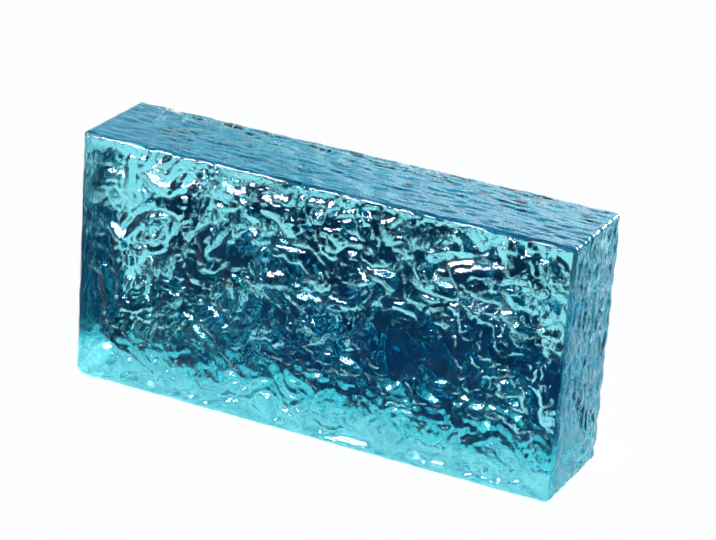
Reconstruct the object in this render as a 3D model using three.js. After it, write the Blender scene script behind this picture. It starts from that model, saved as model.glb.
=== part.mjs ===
// A solid glass block: a brick cast in one piece from coloured glass.
// It stands on its long narrow bed. The beds and ends are flat, for laying it in a wall,
// the corners are soft, and water-like ripples run over its two large faces.
// Units are millimetres, +Z is up, +X runs along the block and -Y faces the front.
// The origin is the middle of the bottom bed.

import * as THREE from "three";

// The block's overall size, over the crests of the ripples.
const blockLength = 200;
const blockDepth = 45;
const blockHeight = 100;

// The mould's rounding: the ends turn into the beds with these radii,
// and the rim is the edge all round each large face.
const lowerCornerRadius = 4.5;
const upperCornerRadius = 2;
const rimRadius = 1.5;

// The ripples are long waves with swells over them. Their crests stand out from the rim's plane
// by the crest height, and are rounded off over the last part of it.
const crestHeight = 0.9;
const crestRounding = 0.5;

// The waves: their height from trough to crest, the band inside the rim in which they
// die out, and how far each train of them swings from side to side.
const waveHeight = 1.8;
const waveFade = 9;
const meanderReach = 5;
const meanderLength = 58;

// Each train of waves has a wavelength, a heading in degrees from +X,
// a phase in degrees, and a share of the wave height.
const frontTrains = [
  { wavelength: 36, heading: 68, phase: 20, share: 3 },
  { wavelength: 25, heading: 118, phase: 200, share: 3 },
  { wavelength: 19, heading: 24, phase: 95, share: 2 },
];
const backTrains = [
  { wavelength: 33, heading: 52, phase: 310, share: 3 },
  { wavelength: 23, heading: 136, phase: 60, share: 3 },
  { wavelength: 18, heading: 84, phase: 170, share: 2 },
];

// The swells: rounded lobes that meet in creases, as poured glass sets. They are drawn out
// along the flow, which heads this many degrees from +X, and the bands in which they die
// out are wider along the ends than along the beds.
const frontSwellSize = 15;
const frontSwellHeight = 3;
const backSwellSize = 12;
const backSwellHeight = 1.5;
const swellStretch = 1.2;
const swellFadeAtEnds = 12;
const swellFadeAtBeds = 4;
const flowHeading = -35;

// The glass sets sooner at the foot of the mould: the share of the swell height that shows there,
// and at its top.
const swellShareAtFoot = 1.3;
const swellShareAtTop = 0.6;

// The eddies that stir the flow: the size of each, how far it carries the glass,
// and the seeds of its sway in X and in Z.
const eddies = [
  { size: 30, reach: 16, seedX: 20, seedZ: 30 },
  { size: 12, reach: 8, seedX: 21, seedZ: 31 },
];

// The share of a swell's height that lies under the face's middle, and how blunt its creases are.
const swellMiddle = 0.45;
const creaseBlunting = 0.05;

// The rim takes at most this share of a corner's radius, so that the corner stays round inside it.
const rimShareOfCorner = 0.8;

// How finely the surface is faceted.
const facetStep = 3.2;
const cornerFacets = 3;
const rimFacets = 2;

const frontRipples = {
  trains: frontTrains,
  swell: { size: frontSwellSize, height: frontSwellHeight, seed: 100 },
};
const backRipples = {
  trains: backTrains,
  swell: { size: backSwellSize, height: backSwellHeight, seed: 200 },
};

const sharpestCorner = Math.min(upperCornerRadius, lowerCornerRadius);
const rim = Math.min(rimRadius, rimShareOfCorner * sharpestCorner);
const rimPlane = blockDepth / 2 - crestHeight;
const FRONT = -1;
const BACK = 1;

// A facet grid covers each large face. Its first and last few columns and rows
// lie in the corner squares, where they bend round the corner's arc.
const widestCorner = Math.max(lowerCornerRadius, upperCornerRadius);
const middleColumns = Math.max(1, Math.round((blockLength - 2 * widestCorner) / facetStep));
const middleRows = Math.max(1, Math.round((blockHeight - 2 * widestCorner) / facetStep));
const columns = middleColumns + 2 * cornerFacets;
const rows = middleRows + 2 * cornerFacets;

/** How far line `index` of `count` is into the corner square at each end, and across the middle. */
function stationOf(index, count) {
  const last = count - cornerFacets;
  return {
    intoStart: Math.max(0, 1 - index / cornerFacets),
    intoEnd: Math.max(0, (index - last) / cornerFacets),
    across: THREE.MathUtils.clamp((index - cornerFacets) / (last - cornerFacets), 0, 1),
  };
}

/** The place in X and Z of grid point (column, row), on the outline moved inwards by inset. */
function outlinePoint(column, row, inset) {
  const alongX = stationOf(column, columns);
  const alongZ = stationOf(row, rows);
  const lowerRadius = lowerCornerRadius - inset;
  const upperRadius = upperCornerRadius - inset;
  const radius = THREE.MathUtils.lerp(lowerRadius, upperRadius, alongZ.across);

  let outX = alongX.intoStart + alongX.intoEnd;
  let outZ = alongZ.intoStart + alongZ.intoEnd;
  if (outX > 0 && outZ > 0) {
    const pull = Math.max(outX, outZ) / Math.hypot(outX, outZ);
    outX *= pull;
    outZ *= pull;
  }

  const halfMiddle = blockLength / 2 - inset - radius;
  const middleX = THREE.MathUtils.lerp(-halfMiddle, halfMiddle, alongX.across);
  const lowestMiddle = inset + lowerRadius;
  const highestMiddle = blockHeight - inset - upperRadius;
  const middleZ = THREE.MathUtils.lerp(lowestMiddle, highestMiddle, alongZ.across);
  return {
    x: middleX + radius * outX * (alongX.intoEnd > 0 ? 1 : -1),
    z: middleZ + radius * outZ * (alongZ.intoEnd > 0 ? 1 : -1),
  };
}

/** The height of the waves at a point of a large face, from -1 in a trough to 1 on a crest. */
function waveAt(x, z, trains) {
  let height = 0;
  let shares = 0;
  for (const { wavelength, heading, phase, share } of trains) {
    const turn = THREE.MathUtils.degToRad(heading);
    const start = THREE.MathUtils.degToRad(phase);
    const along = x * Math.cos(turn) + z * Math.sin(turn);
    const sideways = z * Math.cos(turn) - x * Math.sin(turn);
    const meander = meanderReach * Math.sin((2 * Math.PI * sideways) / meanderLength + start);
    height += share * Math.sin((2 * Math.PI * (along + meander)) / wavelength + start);
    shares += share;
  }
  return height / shares;
}

/** A number from 0 to 1 for each point of a lattice, scattered as if by chance. */
function scatter(column, row, seed) {
  const columnPrime = 374761393;
  const rowPrime = 668265263;
  const mixingPrime = 1274126177;
  const lattice = Math.imul(column, columnPrime) + Math.imul(row, rowPrime);
  const start = (lattice + Math.imul(seed, mixingPrime)) >>> 0;
  const mixed = Math.imul(start ^ (start >>> 13), mixingPrime) >>> 0;
  return ((mixed ^ (mixed >>> 16)) >>> 0) / 2 ** 32;
}

/** Smooth noise from about -1 to 1, with one lump to each unit of u and v. */
function noise(u, v, seed) {
  const gain = 1.4;
  let total = 0;
  for (const [i, j] of [[0, 0], [1, 0], [0, 1], [1, 1]]) {
    const column = Math.floor(u) + i;
    const row = Math.floor(v) + j;
    const heading = 2 * Math.PI * scatter(column, row, seed);
    const slope = Math.cos(heading) * (u - column) + Math.sin(heading) * (v - row);
    const nearU = THREE.MathUtils.smootherstep(1 - Math.abs(u - column), 0, 1);
    const nearV = THREE.MathUtils.smootherstep(1 - Math.abs(v - row), 0, 1);
    total += nearU * nearV * slope;
  }
  return gain * total;
}

/** The height of the swells at a point of a large face, over and under the face's middle. */
function swellAt(x, z, { size, height, seed }) {
  let stirredX = x;
  let stirredZ = z;
  for (const eddy of eddies) {
    stirredX += eddy.reach * noise(x / eddy.size, z / eddy.size, seed + eddy.seedX);
    stirredZ += eddy.reach * noise(x / eddy.size, z / eddy.size, seed + eddy.seedZ);
  }
  const turn = THREE.MathUtils.degToRad(flowHeading);
  const along = (stirredX * Math.cos(turn) + stirredZ * Math.sin(turn)) / swellStretch;
  const across = stirredZ * Math.cos(turn) - stirredX * Math.sin(turn);
  const lobe = Math.hypot(noise(along / size, across / size, seed), creaseBlunting);
  const share = THREE.MathUtils.lerp(swellShareAtFoot, swellShareAtTop, z / blockHeight);
  return share * height * (lobe - swellMiddle);
}

/** Rounds a crest off below the crest height. */
function roundedCrest(height) {
  const knee = crestHeight - crestRounding;
  const over = Math.max(0, height - knee);
  return Math.min(height, knee) + crestRounding * Math.tanh(over / crestRounding);
}

/** How far a large face stands out from the rim's plane at a point: nothing at the rim itself. */
function rippleAt(x, z, { trains, swell }) {
  const toEnd = blockLength / 2 - rim - Math.abs(x);
  const toBed = Math.min(z - rim, blockHeight - rim - z);
  const waveShare = THREE.MathUtils.smoothstep(Math.min(toEnd, toBed), 0, waveFade);
  const swellShareAtEnds = THREE.MathUtils.smoothstep(toEnd, 0, swellFadeAtEnds);
  const swellShareAtBeds = THREE.MathUtils.smoothstep(toBed, 0, swellFadeAtBeds);
  const wave = (waveHeight / 2) * waveShare * waveAt(x, z, trains);
  const swells = swellShareAtEnds * swellShareAtBeds * swellAt(x, z, swell);
  return roundedCrest(wave + swells);
}

const positions = [];
const triangles = [];

function addPoint(x, y, z) {
  positions.push(x, y, z);
  return positions.length / 3 - 1;
}

/** Two triangles over four points in turn, split along the diagonal that bends the surface least. */
function addQuad(a, b, c, d) {
  const depthOf = (point) => positions[3 * point + 1];
  const firstBend = Math.abs(depthOf(a) - depthOf(c));
  const secondBend = Math.abs(depthOf(b) - depthOf(d));
  if (firstBend <= secondBend) triangles.push(a, b, c, a, c, d);
  else triangles.push(a, b, d, b, c, d);
}

/** A rippled face, as point numbers by column and row. */
function addRippledFace(side, ripples) {
  const grid = [];
  for (let column = 0; column <= columns; column += 1) {
    grid.push([]);
    for (let row = 0; row <= rows; row += 1) {
      const { x, z } = outlinePoint(column, row, rim);
      grid[column].push(addPoint(x, side * (rimPlane + rippleAt(x, z, ripples)), z));
    }
  }
  for (let column = 0; column < columns; column += 1) {
    for (let row = 0; row < rows; row += 1) {
      const corners = [
        grid[column][row],
        grid[column + 1][row],
        grid[column + 1][row + 1],
        grid[column][row + 1],
      ];
      if (side === BACK) corners.reverse();
      addQuad(...corners);
    }
  }
  return grid;
}

/** The grid's border, one [column, row] after another, anticlockwise seen from the front. */
function borderStations() {
  const stations = [];
  for (let column = 0; column < columns; column += 1) stations.push([column, 0]);
  for (let row = 0; row < rows; row += 1) stations.push([columns, row]);
  for (let column = columns; column > 0; column -= 1) stations.push([column, rows]);
  for (let row = rows; row > 0; row -= 1) stations.push([0, row]);
  return stations;
}

/** One ring of points round the block, at a step of the rim's rounding. */
function addRimRing(side, step, stations) {
  const angle = ((Math.PI / 2) * step) / rimFacets;
  const inset = rim * (1 - Math.cos(angle));
  const y = side * (rimPlane - rim + rim * Math.sin(angle));
  return stations.map(([column, row]) => {
    const { x, z } = outlinePoint(column, row, inset);
    return addPoint(x, y, z);
  });
}

/** The band of facets between two rings, the first of them nearer the front. */
function addBand(front, back) {
  front.forEach((point, index) => {
    const next = (index + 1) % front.length;
    addQuad(point, back[index], back[next], front[next]);
  });
}

/** The whole cast block: two rippled faces, joined by their rims and by the flat beds and ends. */
function castBlockGeometry() {
  const stations = borderStations();
  const frontFace = addRippledFace(FRONT, frontRipples);
  const backFace = addRippledFace(BACK, backRipples);

  const rings = [stations.map(([column, row]) => frontFace[column][row])];
  for (let step = rimFacets - 1; step >= 0; step -= 1) rings.push(addRimRing(FRONT, step, stations));
  for (let step = 0; step < rimFacets; step += 1) rings.push(addRimRing(BACK, step, stations));
  rings.push(stations.map(([column, row]) => backFace[column][row]));
  for (let ring = 0; ring + 1 < rings.length; ring += 1) addBand(rings[ring], rings[ring + 1]);

  const geometry = new THREE.BufferGeometry();
  geometry.setAttribute("position", new THREE.Float32BufferAttribute(positions, 3));
  geometry.setIndex(triangles);
  geometry.computeVertexNormals();
  return geometry;
}

const aquaGlass = new THREE.MeshStandardMaterial({
  name: "aqua_glass",
  color: 0x3fa9c4,
  roughness: 0.06,
  metalness: 0,
});

const glassBlock = new THREE.Mesh(castBlockGeometry(), aquaGlass);
glassBlock.name = "glass_block";

const group = new THREE.Group();
group.name = "cast_glass_block";
group.add(glassBlock);

export default group;
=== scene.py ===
"""Looks of the cast glass block: a dense rippled skin in place of the CAD solid, clear aqua
glass tinted through its depth, a pale floor, studio light and the camera.

Lengths are in millimetres until they reach Blender, which takes metres."""

import math

import bpy
import numpy as np
from mathutils import Matrix, Vector


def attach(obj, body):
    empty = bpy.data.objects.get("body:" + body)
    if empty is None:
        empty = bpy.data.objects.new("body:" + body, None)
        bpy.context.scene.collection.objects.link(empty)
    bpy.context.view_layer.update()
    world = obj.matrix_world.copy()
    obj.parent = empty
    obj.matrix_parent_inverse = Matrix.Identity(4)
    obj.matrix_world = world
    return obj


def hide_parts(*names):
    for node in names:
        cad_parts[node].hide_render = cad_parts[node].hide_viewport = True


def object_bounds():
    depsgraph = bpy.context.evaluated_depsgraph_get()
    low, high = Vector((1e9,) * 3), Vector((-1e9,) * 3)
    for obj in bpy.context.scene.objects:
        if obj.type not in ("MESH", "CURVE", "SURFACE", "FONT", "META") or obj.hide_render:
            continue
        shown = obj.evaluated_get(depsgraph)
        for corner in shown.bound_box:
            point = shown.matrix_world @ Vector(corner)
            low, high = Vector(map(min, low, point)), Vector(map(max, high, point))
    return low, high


MM = 0.001
TINY = 1e-9
FRONT, BACK = -1, 1

# The block's form, as the CAD solid has it.
LOWER_CORNER_RADIUS = 4.5
UPPER_CORNER_RADIUS = 2.0
RIM_RADIUS = 1.5
CREST_HEIGHT, CREST_ROUNDING = 0.9, 0.5
WAVE_HEIGHT, WAVE_FADE = 1.8, 9.0
MEANDER_REACH, MEANDER_LENGTH = 5.0, 58.0

# Trains of waves: wavelength, heading and phase in degrees, and share of the wave height.
FRONT_TRAINS = ((36, 68, 20, 3), (25, 118, 200, 3), (19, 24, 95, 2))
BACK_TRAINS = ((33, 52, 310, 3), (23, 136, 60, 3), (18, 84, 170, 2))

# Swells, rounded lobes that meet in creases: their size and height, how they lie along the flow,
# how they die out towards the rim, and their share at the foot and at the top.
FRONT_SWELL = (15.0, 3.0)
BACK_SWELL = (12.0, 1.5)
SWELL_STRETCH, SWELL_MIDDLE, CREASE_BLUNTING = 1.2, 0.45, 0.05
SWELL_FADE_AT_ENDS, SWELL_FADE_AT_BEDS = 12.0, 4.0
SWELL_FOOT, SWELL_TOP = 1.3, 0.6
FLOW_HEADING = -35.0

# Eddies that stir the flow: size, reach, and the seeds of their sway in X and in Z.
EDDIES = ((30.0, 16.0, 20, 30), (12.0, 8.0, 21, 31))
FRONT_SEED, BACK_SEED = 100, 200

# The crests of the skin stay inside the CAD solid's box by about this much.
BOX_MARGIN = 0.02

# Only here, finer than the solid's facets: a small eddy, and crinkles with their size, height
# and the depth of the groove between them. They fade towards the rims, grow towards the foot
# and fold under the top edge.
SMALL_EDDY = (5.0, 3.0, 22, 32)
FRONT_CRINKLES = ((9.0, 1.5, 0.0), (4.0, 1.1, 0.3), (2.2, 0.4, 0.0), (7.0, 0.0, 0.6))
BACK_CRINKLES = ((8.0, 1.2, 0.5), (3.0, 1.2, 0.4), (2.0, 0.8, 0.0), (12.0, 0.0, 0.6))
GROOVE_WIDTH = 0.8
CRINKLE_FOOT, CRINKLE_TOP = 1.5, 0.8
CRINKLE_FADE_AT_BEDS, CRINKLE_SHARE_AT_RIM = 3.0, 0.3
TOP_FOLDS, TOP_FOLDS_HEIGHT = 2.8, 14.0

# Patches of the faces that are calm or busy: their size and seed, how the noise is spread
# between the two, and the share of the crinkles that each has.
CALM_SIZE, CALM_SEED = 28.0, 40
CALM_MIDDLE, CALM_CONTRAST = 0.5, 1.2
CALM_LEVEL, BUSY_LEVEL = 0.5, 1.2

# The unevenness of the beds and ends, always inwards: the depth of its hollows, their size along
# the block's outline and across it, and a seed. END_HOLLOWS are the right end's. The rims have
# bites of their own, and the left end and the bottom bed have only a share of BED_HOLLOWS.
BED_HOLLOWS = ((0.12, 13.0, 9.0, 70), (0.9, 8.0, 2.2, 73))
END_HOLLOWS = ((0.12, 13.0, 9.0, 70), (1.8, 6.0, 2.6, 73))
RIM_BITES = ((0.8, 12.0, 9.0, 71), (0.3, 4.0, 9.0, 72))
CALM_SIDES_SHARE = 0.35

# Seeds, the fine bubbles that the glass kept: how many, their radii, how finely they are meshed,
# and the share of the block's length, depth and height that they are scattered over.
SEED_COUNT, SEED_RADII, SEED_STEPS = 20, (0.25, 0.6), 3
SEED_SPREAD = (0.8, 0.65, 0.8)

# How finely the skin is meshed.
FACE_STEP = 0.85
BAND_STEP = 0.75
CORNER_STEPS = 5
RIM_STEPS = 3

# Primes and shifts that scatter the noise's lattice, and the gain that brings its peaks to
# about 1.
SCATTER_COLUMN, SCATTER_ROW, SCATTER_SEED = 374761393, 668265263, 1274126177
SCATTER_RANGE, FIRST_SHIFT, LAST_SHIFT = 2 ** 32, 13, 16
NOISE_GAIN = 1.4

# The glass, tinted in its depth. Its reflections are dimmed and tinted blue as painted shade,
# standing in for darker, bluer surroundings.
REFRACTIVE_INDEX = 1.5
ABSORPTION_COLOR = (0.06, 0.84, 0.915, 1)
ABSORPTION_DENSITY = 33.0
REFLECTION_SHADE_TINT = (0.04, 0.2, 0.38, 1)

# Bumps finer than the mesh: pits on the large faces and streaks on the beds and ends, with the
# part of the normal along Y at which the one gives way to the other.
PIT_SIZE, PIT_HEIGHT, PIT_DETAIL, PIT_DISTORTION = (1.2, 1.2, 1.2), 0.06, 1.0, 1.0
STREAK_SIZE, STREAK_HEIGHT, STREAK_DETAIL = (7.0, 1.4, 3.0), 0.25, 2.0
BAND_NORMAL, FACE_NORMAL = 0.3, 0.7

# Patchy wear, which dulls the rims and corners.
WEAR_SIZE, WEAR_DETAIL, WEAR_ROUGHNESS = (6.0, 6.0, 6.0), 3.0, 0.6

# The floor, and how white it is to the eye and to the light that it scatters.
FLOOR_SIZE, FLOOR_DROP = 40000.0, 0.3
FLOOR_SEEN, FLOOR_LIT = (1, 1, 1, 1), (0.85, 0.85, 0.85, 1)

# The key, a sun, which casts the shadow that the front face shows, and the irradiance that it
# gives the floor. Angles are in degrees, and azimuths turn right from the front.
KEY_AZIMUTH, KEY_ELEVATION, KEY_ANGLE = 20.0, 21.1, 1.0
KEY_IRRADIANCE = 3.08

# The world: the light that it adds, and the horizon and ceiling that the glass shows, with the
# elevations between which the one turns into the other.
AMBIENT = (0.0, 0.004, 0.015, 1)
HORIZON = (0.82, 1.0, 1.0, 1)
CEILING = (0.15, 0.25, 0.4, 1)
CEILING_FROM, CEILING_TO = 34.0, 60.0

# Softboxes, seen only as reflections in the skin: a near one that draws the white squiggles,
# warm because the painted blue shade on the skin's reflections tints what it reflects, and behind
# the block a narrow one that lines the rims of the top and a broad one that lays a sheen on it.
SOFTBOXES = {
    "front_softbox": {
        "azimuth": -21.0, "elevation": 34.0, "distance": 200.0,
        "width": 280.0, "height": 115.0, "radiance": 650.0, "color": (1.0, 0.35, 0.25),
    },
    "edge_softbox": {
        "azimuth": 158.0, "elevation": 20.0, "distance": 1600.0,
        "width": 200.0, "height": 500.0, "radiance": 200.0, "color": (1.0, 1.0, 1.0),
    },
    "back_softbox": {
        "azimuth": 180.0, "elevation": 25.0, "distance": 1600.0,
        "width": 1400.0, "height": 800.0, "radiance": 1.6, "color": (1.0, 1.0, 1.0),
    },
}

# Light that the glass passes on to the floor, as patches as long as the block that shine down in
# place of caustics: the glow under it, the faint spill over its shadow and the leak at its foot
# behind. Each has its radiance as a colour, the Y and Z of its middle, and its depth.
GLOWS = {
    "glow": {"color": (0.0, 0.35, 0.6), "y": 0.0, "z": -0.1, "depth": 45.0},
    "spill": {"color": (0.0, 0.014, 0.07), "y": 80.0, "z": 30.0, "depth": 80.0},
    "leak": {"color": (0.35, 0.92, 0.94), "y": 28.0, "z": 2.5, "depth": 12.0},
}
CAUSTICS = False

# The camera, as solved from the photograph's perspective.
CAMERA_AZIMUTH, CAMERA_ELEVATION, CAMERA_ROLL = 24.63, 22.44, 4.18
CAMERA_DISTANCE, CAMERA_RIGHT, CAMERA_UP = 1071.0, 10.6, 55.8
FOCAL_PIXELS, PHOTO_WIDTH = 2821.0, 716.0
SENSOR_WIDTH = 36.0

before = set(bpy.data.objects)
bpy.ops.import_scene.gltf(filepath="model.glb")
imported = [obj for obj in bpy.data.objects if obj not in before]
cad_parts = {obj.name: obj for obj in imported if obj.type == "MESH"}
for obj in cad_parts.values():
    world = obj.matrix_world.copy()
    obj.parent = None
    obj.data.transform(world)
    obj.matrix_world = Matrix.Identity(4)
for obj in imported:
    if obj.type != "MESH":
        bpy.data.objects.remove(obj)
cad_low, cad_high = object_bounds()
LENGTH, DEPTH, HEIGHT = (cad_high - cad_low) / MM
RIM_PLANE = DEPTH / 2 - CREST_HEIGHT


def smoothstep(value, low, high):
    t = np.clip((value - low) / (high - low), 0, 1)
    return t * t * (3 - 2 * t)


def smootherstep(t):
    return t * t * t * (t * (6 * t - 15) + 10)


def lerp(start, end, share):
    return start + (end - start) * share


def scatter(column, row, seed):
    """A number from 0 to 1 for each lattice point, scattered as if by chance."""
    mixed = (column * SCATTER_COLUMN + row * SCATTER_ROW + seed * SCATTER_SEED) % SCATTER_RANGE
    mixed = ((mixed ^ (mixed >> FIRST_SHIFT)) * SCATTER_SEED) % SCATTER_RANGE
    return (mixed ^ (mixed >> LAST_SHIFT)) / SCATTER_RANGE


def noise(u, v, seed):
    """Smooth noise from about -1 to 1, with one lump to each unit of u and v."""
    column, row = np.floor(u).astype(np.int64), np.floor(v).astype(np.int64)
    total = np.zeros_like(u)
    for i, j in ((0, 0), (1, 0), (0, 1), (1, 1)):
        heading = 2 * math.pi * scatter(column + i, row + j, seed)
        du, dv = u - column - i, v - row - j
        weight = smootherstep(1 - np.abs(du)) * smootherstep(1 - np.abs(dv))
        total += weight * (np.cos(heading) * du + np.sin(heading) * dv)
    return NOISE_GAIN * total


class Outline:
    """The block's outline in X and Z, as columns and rows of a grid that bends at its corners."""

    def __init__(self):
        widest = max(LOWER_CORNER_RADIUS, UPPER_CORNER_RADIUS)
        self.columns = round((LENGTH - 2 * widest) / FACE_STEP) + 2 * CORNER_STEPS
        self.rows = round((HEIGHT - 2 * widest) / FACE_STEP) + 2 * CORNER_STEPS

    @staticmethod
    def station(index, count):
        """How far a line is into the corner square at each end, and across the middle."""
        last = count - CORNER_STEPS
        into_start = np.maximum(0, 1 - index / CORNER_STEPS)
        into_end = np.maximum(0, (index - last) / CORNER_STEPS)
        across = np.clip((index - CORNER_STEPS) / (last - CORNER_STEPS), 0, 1)
        return into_start, into_end, across

    def points(self, column, row, inset):
        """The places in X and Z of grid points, on the outline moved inwards by inset."""
        start_x, end_x, across_x = self.station(column, self.columns)
        start_z, end_z, across_z = self.station(row, self.rows)
        lower = LOWER_CORNER_RADIUS - inset
        upper = UPPER_CORNER_RADIUS - inset
        radius = lower + (upper - lower) * across_z
        out_x = start_x + end_x
        out_z = start_z + end_z
        reach = np.maximum(np.hypot(out_x, out_z), TINY)
        pull = np.where((out_x > 0) & (out_z > 0), np.maximum(out_x, out_z) / reach, 1)
        half = LENGTH / 2 - inset - radius
        low = inset + lower
        high = HEIGHT - inset - upper
        x = half * (2 * across_x - 1) + radius * out_x * pull * np.where(end_x > 0, 1, -1)
        z = low + (high - low) * across_z + radius * out_z * pull * np.where(end_z > 0, 1, -1)
        return x, z

    def in_corner(self, column, row):
        """Whether grid points lie on the bend of a corner."""
        start_x, end_x, _ = self.station(column, self.columns)
        start_z, end_z, _ = self.station(row, self.rows)
        return (start_x + end_x > 0) & (start_z + end_z > 0)

    def border(self):
        """The grid's border as columns and rows, anticlockwise seen from the front."""
        c, r = self.columns, self.rows
        stations = [(i, 0) for i in range(c)] + [(c, j) for j in range(r)]
        stations += [(i, r) for i in range(c, 0, -1)] + [(0, j) for j in range(r, 0, -1)]
        return np.array(stations).T


def wave(x, z, trains):
    """The height of the main waves, from -1 in a trough to 1 on a crest."""
    height = np.zeros_like(x)
    for wavelength, heading, phase, share in trains:
        turn, start = math.radians(heading), math.radians(phase)
        along = x * math.cos(turn) + z * math.sin(turn)
        sideways = z * math.cos(turn) - x * math.sin(turn)
        meander = MEANDER_REACH * np.sin(2 * math.pi * sideways / MEANDER_LENGTH + start)
        height += share * np.sin(2 * math.pi * (along + meander) / wavelength + start)
    return height / sum(share for *_, share in trains)


def flow(x, z, eddies, seed):
    """Places along and across the flow of the glass, as eddies have stirred it."""
    stirred_x, stirred_z = x, z
    for size, reach, seed_x, seed_z in eddies:
        stirred_x = stirred_x + reach * noise(x / size, z / size, seed + seed_x)
        stirred_z = stirred_z + reach * noise(x / size, z / size, seed + seed_z)
    turn = math.radians(FLOW_HEADING)
    along = (stirred_x * math.cos(turn) + stirred_z * math.sin(turn)) / SWELL_STRETCH
    across = stirred_z * math.cos(turn) - stirred_x * math.sin(turn)
    return along, across


def swell(x, z, size, height, seed):
    """The height of the swells over and under the face's middle."""
    along, across = flow(x, z, EDDIES, seed)
    lobe = np.hypot(noise(along / size, across / size, seed), CREASE_BLUNTING)
    return height * (lobe - SWELL_MIDDLE) * lerp(SWELL_FOOT, SWELL_TOP, z / HEIGHT)


def crinkle(x, z, crinkles, seed):
    """The height of the crinkles: small lobes of several sizes with grooves between them."""
    along, across = flow(x, z, (*EDDIES, SMALL_EDDY), seed)
    patches = noise(x / CALM_SIZE, z / CALM_SIZE, seed + CALM_SEED)
    busy = np.clip(CALM_MIDDLE + CALM_CONTRAST * patches, 0, 1)
    height = np.zeros_like(x)
    for order, (size, lobe_height, groove_depth) in enumerate(crinkles, 1):
        bulge = noise(along / size, across / size, seed + order)
        height += lobe_height * np.hypot(bulge, CREASE_BLUNTING)
        height -= groove_depth * np.exp(-(bulge * size / GROOVE_WIDTH) ** 2)
    height *= lerp(CALM_LEVEL, BUSY_LEVEL, busy) * lerp(CRINKLE_FOOT, CRINKLE_TOP, z / HEIGHT)
    height -= height.mean()
    return height * lerp(1, TOP_FOLDS, smoothstep(z, HEIGHT - TOP_FOLDS_HEIGHT, HEIGHT))


def relief(x, z, trains, size, height, crinkles, seed):
    """How far a large face stands out from the plane of its rim, its crests in the CAD box."""
    to_end = LENGTH / 2 - RIM_RADIUS - np.abs(x)
    to_bed = np.minimum(z - RIM_RADIUS, HEIGHT - RIM_RADIUS - z)
    settled = smoothstep(np.minimum(to_end, to_bed), 0, WAVE_FADE)
    waves = WAVE_HEIGHT / 2 * settled * wave(x, z, trains)
    off_ends = smoothstep(to_end, 0, SWELL_FADE_AT_ENDS)
    settled = off_ends * smoothstep(to_bed, 0, SWELL_FADE_AT_BEDS)
    swells = swell(x, z, size, height, seed) * settled
    off_beds = smoothstep(to_bed, 0, CRINKLE_FADE_AT_BEDS)
    settled = off_ends * lerp(CRINKLE_SHARE_AT_RIM, 1, off_beds)
    raised = waves + swells + crinkle(x, z, crinkles, seed) * settled
    knee = CREST_HEIGHT - CREST_ROUNDING - BOX_MARGIN
    over = np.maximum(raised - knee, 0)
    return np.minimum(raised, knee) + CREST_ROUNDING * np.tanh(over / CREST_ROUNDING)


def hollows(along, across, sizes):
    """How deep the skin of the beds and ends lies under their planes, for the most part little."""
    depth = np.zeros_like(along)
    for deepest, length, width, seed in sizes:
        depth += deepest * (0.5 + 0.5 * noise(along / length, across / width, seed)) ** 2
    return depth


class Skin:
    """Points and quads gathered from the faces and from the band between them."""

    def __init__(self):
        self.points = []
        self.arris = []
        self.quads = []
        self.count = 0

    def add(self, x, y, z, arris):
        """Adds points and gives their numbers; arris is 1 on the edges that wear."""
        self.arris.append(np.broadcast_to(arris, x.shape).ravel())
        self.points.append(np.stack(np.broadcast_arrays(x, y, z), -1).reshape(-1, 3))
        numbers = self.count + np.arange(x.size).reshape(x.shape)
        self.count += x.size
        return numbers

    def join(self, a, b, c, d):
        """Adds quads from the numbers of their corners, anticlockwise seen from outside."""
        self.quads.append(np.stack([a, b, c, d], -1).reshape(-1, 4))

    def mesh(self, name):
        mesh = bpy.data.meshes.new(name)
        points = np.concatenate(self.points) * MM
        mesh.from_pydata(points.tolist(), [], np.concatenate(self.quads).tolist())
        mesh.polygons.foreach_set("use_smooth", [True] * len(mesh.polygons))
        mesh.update()
        arris = mesh.attributes.new("arris", "FLOAT", "POINT")
        arris.data.foreach_set("value", np.concatenate(self.arris))
        return mesh


def add_face(skin, outline, side, *ripples):
    """A rippled face, as point numbers by column and row."""
    columns, rows = np.arange(outline.columns + 1), np.arange(outline.rows + 1)
    x, z = outline.points(*np.meshgrid(columns, rows, indexing="ij"), RIM_RADIUS)
    numbers = skin.add(x, side * (RIM_PLANE + relief(x, z, *ripples)), z, 0.0)
    a, b, c, d = numbers[:-1, :-1], numbers[1:, :-1], numbers[1:, 1:], numbers[:-1, 1:]
    if side == FRONT:
        skin.join(a, b, c, d)
    else:
        skin.join(d, c, b, a)
    return numbers


def band_sections():
    """The band's section from front to back: inset, Y, and its share of the unevenness."""
    middle = RIM_PLANE - RIM_RADIUS
    rim = []
    for step in range(RIM_STEPS):
        angle = math.pi / 2 * step / RIM_STEPS
        inset, out = 1 - math.cos(angle), math.sin(angle)
        rim.append((RIM_RADIUS * inset, middle + RIM_RADIUS * out, math.cos(angle)))
    front = [(inset, -y, share) for inset, y, share in reversed(rim)]
    flats = round(2 * middle / BAND_STEP)
    between = [(0.0, middle * (2 * step / flats - 1), 1.0) for step in range(1, flats)]
    return front + between + rim


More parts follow.
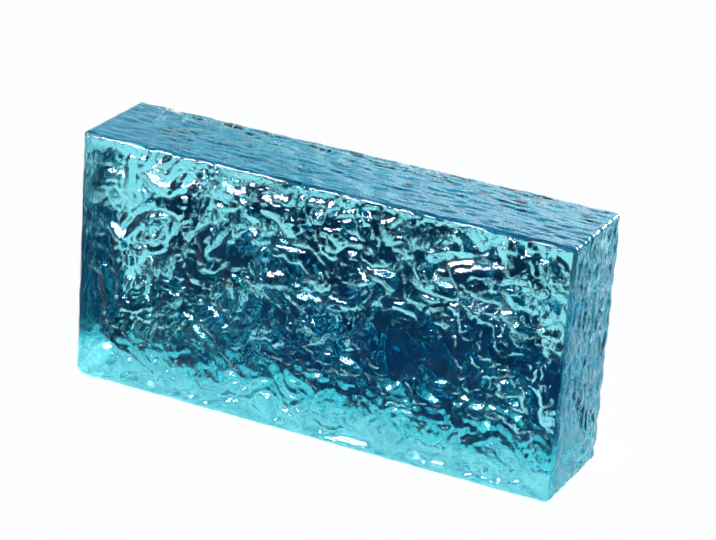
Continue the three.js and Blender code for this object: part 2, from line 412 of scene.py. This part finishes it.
def add_band(skin, outline, front, back):
    """The beds, ends and rims: rings of points from the front face's border to the back one's."""
    column, row = outline.border()
    corner = outline.in_corner(column, row)
    rings = [front[column, row]]
    for inset, y, share in band_sections():
        x, z = outline.points(column, row, inset)
        along, across = x + z, np.full_like(x, y)
        on_right = smoothstep(x, LENGTH / 2 - LOWER_CORNER_RADIUS, LENGTH / 2)
        on_left = smoothstep(-x, LENGTH / 2 - LOWER_CORNER_RADIUS, LENGTH / 2)
        on_foot = smoothstep(-z, -LOWER_CORNER_RADIUS, 0)
        on_bed, on_end = (hollows(along, across, sizes) for sizes in (BED_HOLLOWS, END_HOLLOWS))
        uneven = lerp(on_bed, on_end, on_right)
        uneven *= share * lerp(1, CALM_SIDES_SHARE, np.maximum(on_left, on_foot))
        if inset:
            uneven += hollows(along, across, RIM_BITES)
        x, z = outline.points(column, row, inset + uneven)
        rings.append(skin.add(x, y, z, np.where(corner | (inset > 0), 1.0, 0.0)))
    rings.append(back[column, row])
    for near, far in zip(rings[:-1], rings[1:]):
        skin.join(near, far, np.roll(far, -1), np.roll(near, -1))


def add_seeds(skin):
    """Fine bubbles scattered through the glass, each a small cube blown round."""
    numbers = np.arange(SEED_COUNT)
    chances = [scatter(numbers, row, 0) for row in range(4)]
    side = np.tan(np.linspace(-math.pi / 4, math.pi / 4, SEED_STEPS + 1))
    u, v = np.meshgrid(side, side, indexing="ij")
    for x, y, z, size in zip(*chances):
        radius = lerp(*SEED_RADII, size)
        middle = np.array((x - 0.5, y - 0.5, z - 0.5)) * SEED_SPREAD * (LENGTH, DEPTH, HEIGHT)
        middle[2] += HEIGHT / 2
        for axis in range(3):
            for end in (-1, 1):
                place = np.roll(np.stack([end * np.ones_like(u), u * end, v], -1), axis, -1)
                place = middle + radius * place / np.linalg.norm(place, axis=-1, keepdims=True)
                n = skin.add(*np.moveaxis(place, -1, 0), 0.0)
                skin.join(n[:-1, :-1], n[:-1, 1:], n[1:, 1:], n[1:, :-1])


def block_mesh():
    skin = Skin()
    outline = Outline()
    front = (FRONT_TRAINS, *FRONT_SWELL, FRONT_CRINKLES, FRONT_SEED)
    back = (BACK_TRAINS, *BACK_SWELL, BACK_CRINKLES, BACK_SEED)
    front = add_face(skin, outline, FRONT, *front)
    back = add_face(skin, outline, BACK, *back)
    add_band(skin, outline, front, back)
    add_seeds(skin)
    return skin.mesh("glass_skin")


def feed(tree, sockets, values):
    """Sets sockets by name or number, and links those whose value is another socket."""
    for key, value in values.items():
        if isinstance(value, bpy.types.NodeSocket):
            tree.links.new(value, sockets[key])
        else:
            sockets[key].default_value = value


def add_node(tree, kind, values, **settings):
    node = tree.nodes.new(kind)
    for name, setting in settings.items():
        setattr(node, name, setting)
    feed(tree, node.inputs, values)
    return node.outputs


def math_node(tree, operation, *values):
    return add_node(tree, "ShaderNodeMath", dict(enumerate(values)), operation=operation)[0]


def mix_node(tree, start, end, share):
    values = {"A": start, "B": end, "Factor": share}
    return add_node(tree, "ShaderNodeMix", values, data_type="RGBA")["Result"]


def stretched_noise(tree, place, size, detail, distortion=0.0):
    """Noise whose lumps measure `size` millimetres along X, Y and Z."""
    scale = [1 / (side * MM) for side in size]
    stretched = add_node(tree, "ShaderNodeMapping", {"Vector": place, "Scale": scale})["Vector"]
    values = {"Vector": stretched, "Scale": 1.0, "Detail": detail, "Distortion": distortion}
    return add_node(tree, "ShaderNodeTexNoise", values)["Fac"]


def bump(tree, height, distance, strength, **before):
    """A bump of `distance` millimetres, as strong as the socket `strength` says."""
    values = {"Height": height, "Distance": distance * MM, "Strength": strength, **before}
    return add_node(tree, "ShaderNodeBump", values)["Normal"]


def glass_material():
    material = bpy.data.materials.new("aqua_glass")
    material.use_nodes = True
    tree = material.node_tree
    place = add_node(tree, "ShaderNodeTexCoord", {})
    split = add_node(tree, "ShaderNodeSeparateXYZ", {"Vector": place["Normal"]})
    facing = math_node(tree, "ABSOLUTE", split["Y"])
    values = {"Value": facing, "From Min": BAND_NORMAL, "From Max": FACE_NORMAL}
    on_face = add_node(tree, "ShaderNodeMapRange", values)["Result"]
    on_band = math_node(tree, "SUBTRACT", 1.0, on_face)

    pits = stretched_noise(tree, place["Object"], PIT_SIZE, PIT_DETAIL, PIT_DISTORTION)
    streaks = stretched_noise(tree, place["Object"], STREAK_SIZE, STREAK_DETAIL)
    normal = bump(tree, pits, PIT_HEIGHT, on_face)
    normal = bump(tree, streaks, STREAK_HEIGHT, on_band, Normal=normal)

    arris = add_node(tree, "ShaderNodeAttribute", {}, attribute_name="arris")["Fac"]
    wear = stretched_noise(tree, place["Object"], WEAR_SIZE, WEAR_DETAIL)
    wear = math_node(tree, "MULTIPLY", wear, WEAR_ROUGHNESS)
    feed(tree, tree.nodes["Principled BSDF"].inputs, {
        "Base Color": (1, 1, 1, 1),
        "Roughness": math_node(tree, "MULTIPLY", arris, wear),
        "IOR": REFRACTIVE_INDEX,
        "Normal": normal,
        # Painted shade: reflections dimmed and tinted blue, in place of darker surroundings.
        "Specular Tint": REFLECTION_SHADE_TINT,
        "Transmission Weight": 1.0,
    })
    values = {"Color": ABSORPTION_COLOR, "Density": ABSORPTION_DENSITY}
    tint = add_node(tree, "ShaderNodeVolumeAbsorption", values)["Volume"]
    feed(tree, tree.nodes["Material Output"].inputs, {"Volume": tint})
    return material


def seen_or_lit(tree, seen, lit):
    """One colour for camera, glossy and transmission rays, and another for the light."""
    path = add_node(tree, "ShaderNodeLightPath", {})
    glass = math_node(tree, "MAXIMUM", path["Is Glossy Ray"], path["Is Transmission Ray"])
    eye = math_node(tree, "MAXIMUM", path["Is Camera Ray"], glass)
    return mix_node(tree, lit, seen, eye)


def add_floor():
    place = (0, 0, -FLOOR_DROP * MM)
    bpy.ops.mesh.primitive_plane_add(size=FLOOR_SIZE * MM, location=place)
    floor = bpy.context.object
    floor.name = "floor"
    material = bpy.data.materials.new("floor")
    material.use_nodes = True
    tree = material.node_tree
    feed(tree, tree.nodes["Principled BSDF"].inputs, {
        "Base Color": seen_or_lit(tree, FLOOR_SEEN, FLOOR_LIT),
        "Roughness": 1.0,
        "Specular IOR Level": 0.0,
    })
    floor.data.materials.append(material)


def towards(azimuth, elevation):
    """The direction at an azimuth, which turns right from the front, and an elevation."""
    a, e = math.radians(azimuth), math.radians(elevation)
    return Vector((math.sin(a) * math.cos(e), -math.cos(a) * math.cos(e), math.sin(e)))


def add_light(name, kind, direction):
    """A light that shines from a direction."""
    light = bpy.data.objects.new(name, bpy.data.lights.new(name, kind))
    bpy.context.collection.objects.link(light)
    light.rotation_mode = "QUATERNION"
    light.rotation_quaternion = direction.to_track_quat("Z", "Y")
    return light


def add_key():
    """The key, whose shadow falls away behind the block."""
    light = add_light("key", "SUN", towards(KEY_AZIMUTH, KEY_ELEVATION))
    light.data.energy = KEY_IRRADIANCE / math.sin(math.radians(KEY_ELEVATION))
    light.data.angle = math.radians(KEY_ANGLE)


def add_softbox(name, azimuth, elevation, distance, width, height, radiance, color):
    """A softbox aimed at the block's middle, which shows only as reflections in its skin."""
    direction = towards(azimuth, elevation)
    light = add_light(name, "AREA", direction)
    light.data.shape = "ELLIPSE"
    light.data.size = width * MM
    light.data.size_y = height * MM
    light.data.energy = radiance * math.pi * (math.pi / 4 * width * height * MM * MM)
    light.data.color = color
    light.location = (direction * distance + Vector((0, 0, HEIGHT / 2))) * MM
    light.visible_camera = False
    light.visible_diffuse = False
    light.visible_transmission = False


def add_glow(name, color, y, z, depth):
    """A patch of light on the floor that the glass has passed on to it."""
    light = add_light(name, "AREA", Vector((0, 0, 1)))
    light.data.shape = "RECTANGLE"
    light.data.size = LENGTH * MM
    light.data.size_y = depth * MM
    light.data.color = color
    light.data.energy = math.pi * LENGTH * depth * MM * MM
    light.location = (0, y * MM, z * MM)
    light.visible_camera = False
    light.visible_glossy = False
    light.visible_transmission = False


def add_world():
    world = bpy.data.worlds.new("studio")
    bpy.context.scene.world = world
    world.use_nodes = True
    tree = world.node_tree
    direction = add_node(tree, "ShaderNodeTexCoord", {})["Generated"]
    height = add_node(tree, "ShaderNodeSeparateXYZ", {"Vector": direction})["Z"]
    low, high = (math.sin(math.radians(angle)) for angle in (CEILING_FROM, CEILING_TO))
    values = {"Value": height, "From Min": low, "From Max": high}
    share = add_node(tree, "ShaderNodeMapRange", values, interpolation_type="SMOOTHSTEP")["Result"]
    studio = mix_node(tree, HORIZON, CEILING, share)
    feed(tree, tree.nodes["Background"].inputs, {"Color": seen_or_lit(tree, studio, AMBIENT)})


def add_camera():
    back = towards(CAMERA_AZIMUTH, CAMERA_ELEVATION)
    level = Vector((0, 0, 1)).cross(back).normalized()
    upright = back.cross(level)
    roll = math.radians(CAMERA_ROLL)
    right = math.cos(roll) * level + math.sin(roll) * upright
    up = math.cos(roll) * upright - math.sin(roll) * level
    place = (back * CAMERA_DISTANCE + right * CAMERA_RIGHT + up * CAMERA_UP) * MM
    camera = bpy.data.objects.new("camera", bpy.data.cameras.new("camera"))
    camera.data.sensor_width = SENSOR_WIDTH
    camera.data.lens = FOCAL_PIXELS * SENSOR_WIDTH / PHOTO_WIDTH
    bpy.context.collection.objects.link(camera)
    turned = Matrix((right, up, back)).transposed().to_4x4()
    camera.matrix_world = Matrix.Translation(place) @ turned
    bpy.context.scene.camera = camera


add_camera()
block = bpy.data.objects.new("cast_block", block_mesh())
bpy.context.collection.objects.link(block)
block.data.materials.append(glass_material())
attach(block, "root")
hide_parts("glass_block")
add_floor()
add_key()
for name, softbox in SOFTBOXES.items():
    add_softbox(name, **softbox)
for name, glow in GLOWS.items():
    add_glow(name, **glow)
add_world()
bpy.context.scene.view_settings.view_transform = "Standard"
bpy.context.scene.cycles.caustics_refractive = CAUSTICS
bpy.context.scene.cycles.caustics_reflective = CAUSTICS
